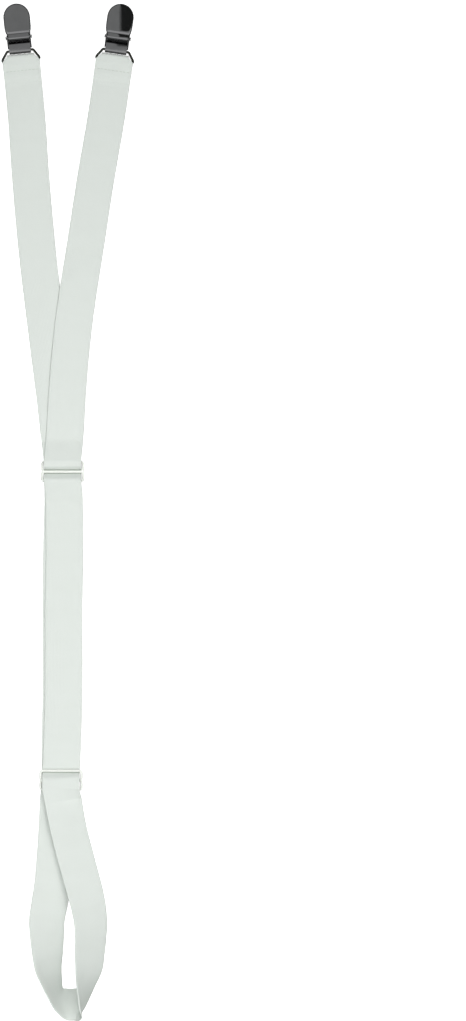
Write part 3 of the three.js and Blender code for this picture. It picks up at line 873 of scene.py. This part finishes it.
for side in ("left", "right"):
    reach = base_width / 2 + clearance
    begin(bpy.ops.mesh.primitive_cylinder_add, vertices=40, radius=pin_radius, depth=2 * reach)
    for end in (-1, 1):
        choose("FACE", lambda p: p.z * end > reach - hair)
        extrude_to((0, 0, 0))
        bpy.ops.transform.resize(value=(pin_head_radius / pin_radius, pin_head_radius / pin_radius, 1))
        extrude_to((0, 0, end * pin_head_thickness))
        choose("EDGE", lambda p: p.z * end > reach + pin_head_thickness - hair)
        bpy.ops.mesh.bevel(offset=head_round, segments=5)
    bpy.ops.mesh.select_all(action="SELECT")
    bpy.ops.mesh.normals_make_consistent(inside=False)
    bpy.ops.object.mode_set(mode="OBJECT")
    bpy.ops.object.shade_smooth_by_angle(angle=crease_angle)
    across = Matrix.Translation((0, pin_run, pin_level)) @ Matrix.Rotation(math.radians(90), 4, "Y")
    pin = seat(f"rivet_{side}", plated_steel, clip_frame(side) @ across)
    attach(pin, f"clip_{side}")
    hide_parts(f"hinge_pin_{side}")

# Levers
# The front of each clip, stamped from the same steel: an oval plate pressed into a low dome,
# whose rear end is rolled round the rivet and ends in the lip that grips the cloth. It is the
# face of the clip, so it is polished before plating and reflects like a dark mirror.
lever_side_gap = 0.4 * mm
lever_width = 17.1 * mm
lever_length = 30.8 * mm
lever_rear_run = 11.1 * mm
lever_rear_width = 14.6 * mm
lever_shoulder = 6 * mm
lever_nose = 8.8 * mm
lever_crown = 0.5 * mm
lip_angle = math.radians(-62)
lip_clearance = 0.4 * mm
dome_rings = (1, 0.99, 0.98, 0.967, 0.95, 0.93, 0.9, 0.86, 0.78, 0.6)
dome_power = 22
shoulder_steps = 8
knuckle_steps = 16

polished_steel = black_nickel("polished_black_nickel", "#676768", "#727273", "X", 0.035, 0.06)
for side in ("left", "right"):
    half = lever_width / 2
    rear_half = lever_rear_width / 2
    knuckle_half = tab_width / 2 - lever_side_gap
    round_nose(half, lever_nose, lever_length - lever_nose, lever_level)
    extrude_to((0, lever_rear_run + lever_shoulder - lever_length + lever_nose, 0))
    # Shoulders, a quarter oval each
    wide, run = half, 0
    for k in range(1, shoulder_steps + 1):
        angle = math.pi / 2 * k / shoulder_steps
        narrow = half - (half - rear_half) * (1 - math.cos(angle))
        extrude_to((0, run - lever_shoulder * math.sin(angle), 0))
        bpy.ops.transform.resize(value=(narrow / wide, 1, 1))
        wide, run = narrow, lever_shoulder * math.sin(angle)
    bpy.ops.mesh.select_all(action="SELECT")
    bpy.ops.mesh.edge_face_add()
    # Hinge edge: the middle third of the plate's rear, drawn to the knuckle's width
    choose("EDGE", lambda p: near(p.y, lever_rear_run))
    bpy.ops.mesh.subdivide(number_cuts=2)
    choose("VERT", lambda p: near(p.y, lever_rear_run) and abs(p.x) < rear_half / 2)
    bpy.ops.transform.resize(value=(3 * knuckle_half / rear_half, 1, 1))
    # Dome: the plate's face is drawn in and raised, ring by ring, steeply at the rim
    choose("FACE", lambda p: True)
    top = (0, (lever_rear_run + lever_length) / 2, lever_level)
    for outer, inner in zip(dome_rings, dome_rings[1:]):
        bpy.ops.mesh.inset(thickness=0, depth=0)
        bpy.ops.transform.resize(value=(inner / outer, inner / outer, 1), center_override=top)
        bpy.ops.transform.translate(value=(0, 0, lever_crown * (outer ** dome_power - inner ** dome_power)))
    # Knuckle and lip
    choose("EDGE", lambda p: near(p.y, lever_rear_run) and abs(p.x) < knuckle_half + hair)
    extrude_to((0, pin_run - lever_rear_run, 0))
    bpy.ops.mesh.spin(steps=knuckle_steps, angle=math.radians(180) + lip_angle,
                      center=(0, pin_run, pin_level), axis=(-1, 0, 0))
    lip_reach = pin_level - sheet_thickness - lip_clearance
    lip_length = lip_reach + knuckle_radius / math.tan(lip_angle)
    extrude_to((0, lip_length * math.cos(lip_angle), lip_length * math.sin(lip_angle)))
    press_sheet()
    bpy.ops.object.shade_smooth_by_angle(angle=crease_angle)
    lever = seat(f"pressed_lever_{side}", polished_steel, clip_frame(side))
    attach(lever, f"clip_lever_{side}")
    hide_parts(f"lever_{side}")

# Floor, light and camera
# A plain white table under large soft boxes in a white tent, seen from straight above through a
# long lens. The camera's middle lies right of the stay, which takes up the left of the picture.
view_height = 680.7 * mm
view_middle = Vector((110.1 * mm, 1.2 * mm, 0))
camera_distance = 4000 * mm
sensor = 24
table_size = 6
table_level = -0.05 * mm
table_glow = 0.8
card_size = 0.3
card_height = 60 * mm
card_corner = Vector((34.1 * mm, 323 * mm, card_height))
box_size = 0.9
box_place = (0.05, -0.14)

bpy.ops.mesh.primitive_plane_add(size=table_size, location=(0, 0, table_level))
floor = bpy.context.object
floor.name = "table_top"
# White acrylic, lit from beneath towards the camera only: the background stays white beside the
# straps, as in a cut-out photograph, and throws little light up under them
floor_paint, floor_shader = finish_of("back_lit_acrylic", Roughness=0.9, Specular_IOR_Level=0.0,
                                      Emission_Color=colour("#ffffff"))
rays = node(floor_paint, "ShaderNodeLightPath")
glow = node(floor_paint, "ShaderNodeMath", {1: table_glow}, {0: rays.outputs["Is Camera Ray"]},
            operation="MULTIPLY")
bounce = node(floor_paint, "ShaderNodeMix", data_type="RGBA",
              links={"Factor": rays.outputs["Is Camera Ray"]})
bounce.inputs[6].default_value = colour("#c6cac6")
bounce.inputs[7].default_value = colour("#ffffff")
floor_paint.node_tree.links.new(bounce.outputs[2], floor_shader.inputs["Base Color"])
floor_paint.node_tree.links.new(glow.outputs[0], floor_shader.inputs["Emission Strength"])
floor.data.materials.append(floor_paint)

# Black card over the right-hand clip, hidden from the camera, from diffuse light and from shadows: a
# painted dark reflection, seen only in the polished plates
card_middle = card_corner + Vector((card_size / 2, card_size / 2, 0))
bpy.ops.mesh.primitive_plane_add(size=card_size, location=card_middle)
card = bpy.context.object
card.name = "black_card"
card.data.materials.append(finish_of("black_card", Roughness=1.0, Base_Color=colour("#646464"),
                                     Specular_IOR_Level=0.0)[0])
card.visible_camera = card.visible_diffuse = card.visible_shadow = False

# The tent: bright overhead, dim towards the table
world = bpy.data.worlds.new("studio")
world.use_nodes = True
sky = world.node_tree
direction = sky.nodes.new("ShaderNodeTexCoord")
up = sky.nodes.new("ShaderNodeSeparateXYZ")
tent = sky.nodes.new("ShaderNodeMapRange")
tent.interpolation_type = "SMOOTHSTEP"
for socket, value in {"From Min": 0.3, "From Max": 1.0, "To Min": 0.24, "To Max": 0.8}.items():
    tent.inputs[socket].default_value = value
sky.links.new(direction.outputs["Generated"], up.inputs[0])
sky.links.new(up.outputs[2], tent.inputs["Value"])
sky.links.new(tent.outputs[0], sky.nodes["Background"].inputs["Strength"])
sky.nodes["Background"].inputs["Color"].default_value = (0.98, 1, 0.99, 1)
bpy.context.scene.world = world

# One soft box lights all. The other hangs just over it and is kept off the clips and rings, so
# that the bends in their plated steel don't flare. It lights the band, seams, slides and table.
pale_pieces = bpy.data.collections.new("pale_pieces")
for piece in [band, floor] + [piece for piece in bpy.context.scene.objects
                              if piece.name.startswith(("seam", "moulded"))]:
    pale_pieces.objects.link(piece)
for name, energy, height, lit in (("soft_box", 1.9, 0.75, None), ("flagged_box", 2.7, 0.76, pale_pieces)):
    box = bpy.data.lights.new(name, "AREA")
    box.shape = "SQUARE"
    box.size = box_size
    box.energy = energy
    light = bpy.data.objects.new(name, box)
    light.location = (*box_place, height)
    light.light_linking.receiver_collection = lit
    bpy.context.scene.collection.objects.link(light)

lens = bpy.data.cameras.new("camera")
lens.sensor_fit = "VERTICAL"
lens.sensor_height = sensor
lens.lens = sensor * camera_distance / view_height
lens.clip_end = 20
camera = bpy.data.objects.new("camera", lens)
camera.location = view_middle + Vector((0, 0, camera_distance))
bpy.context.scene.collection.objects.link(camera)
bpy.context.scene.camera = camera
bpy.context.scene.view_settings.view_transform = "Standard"
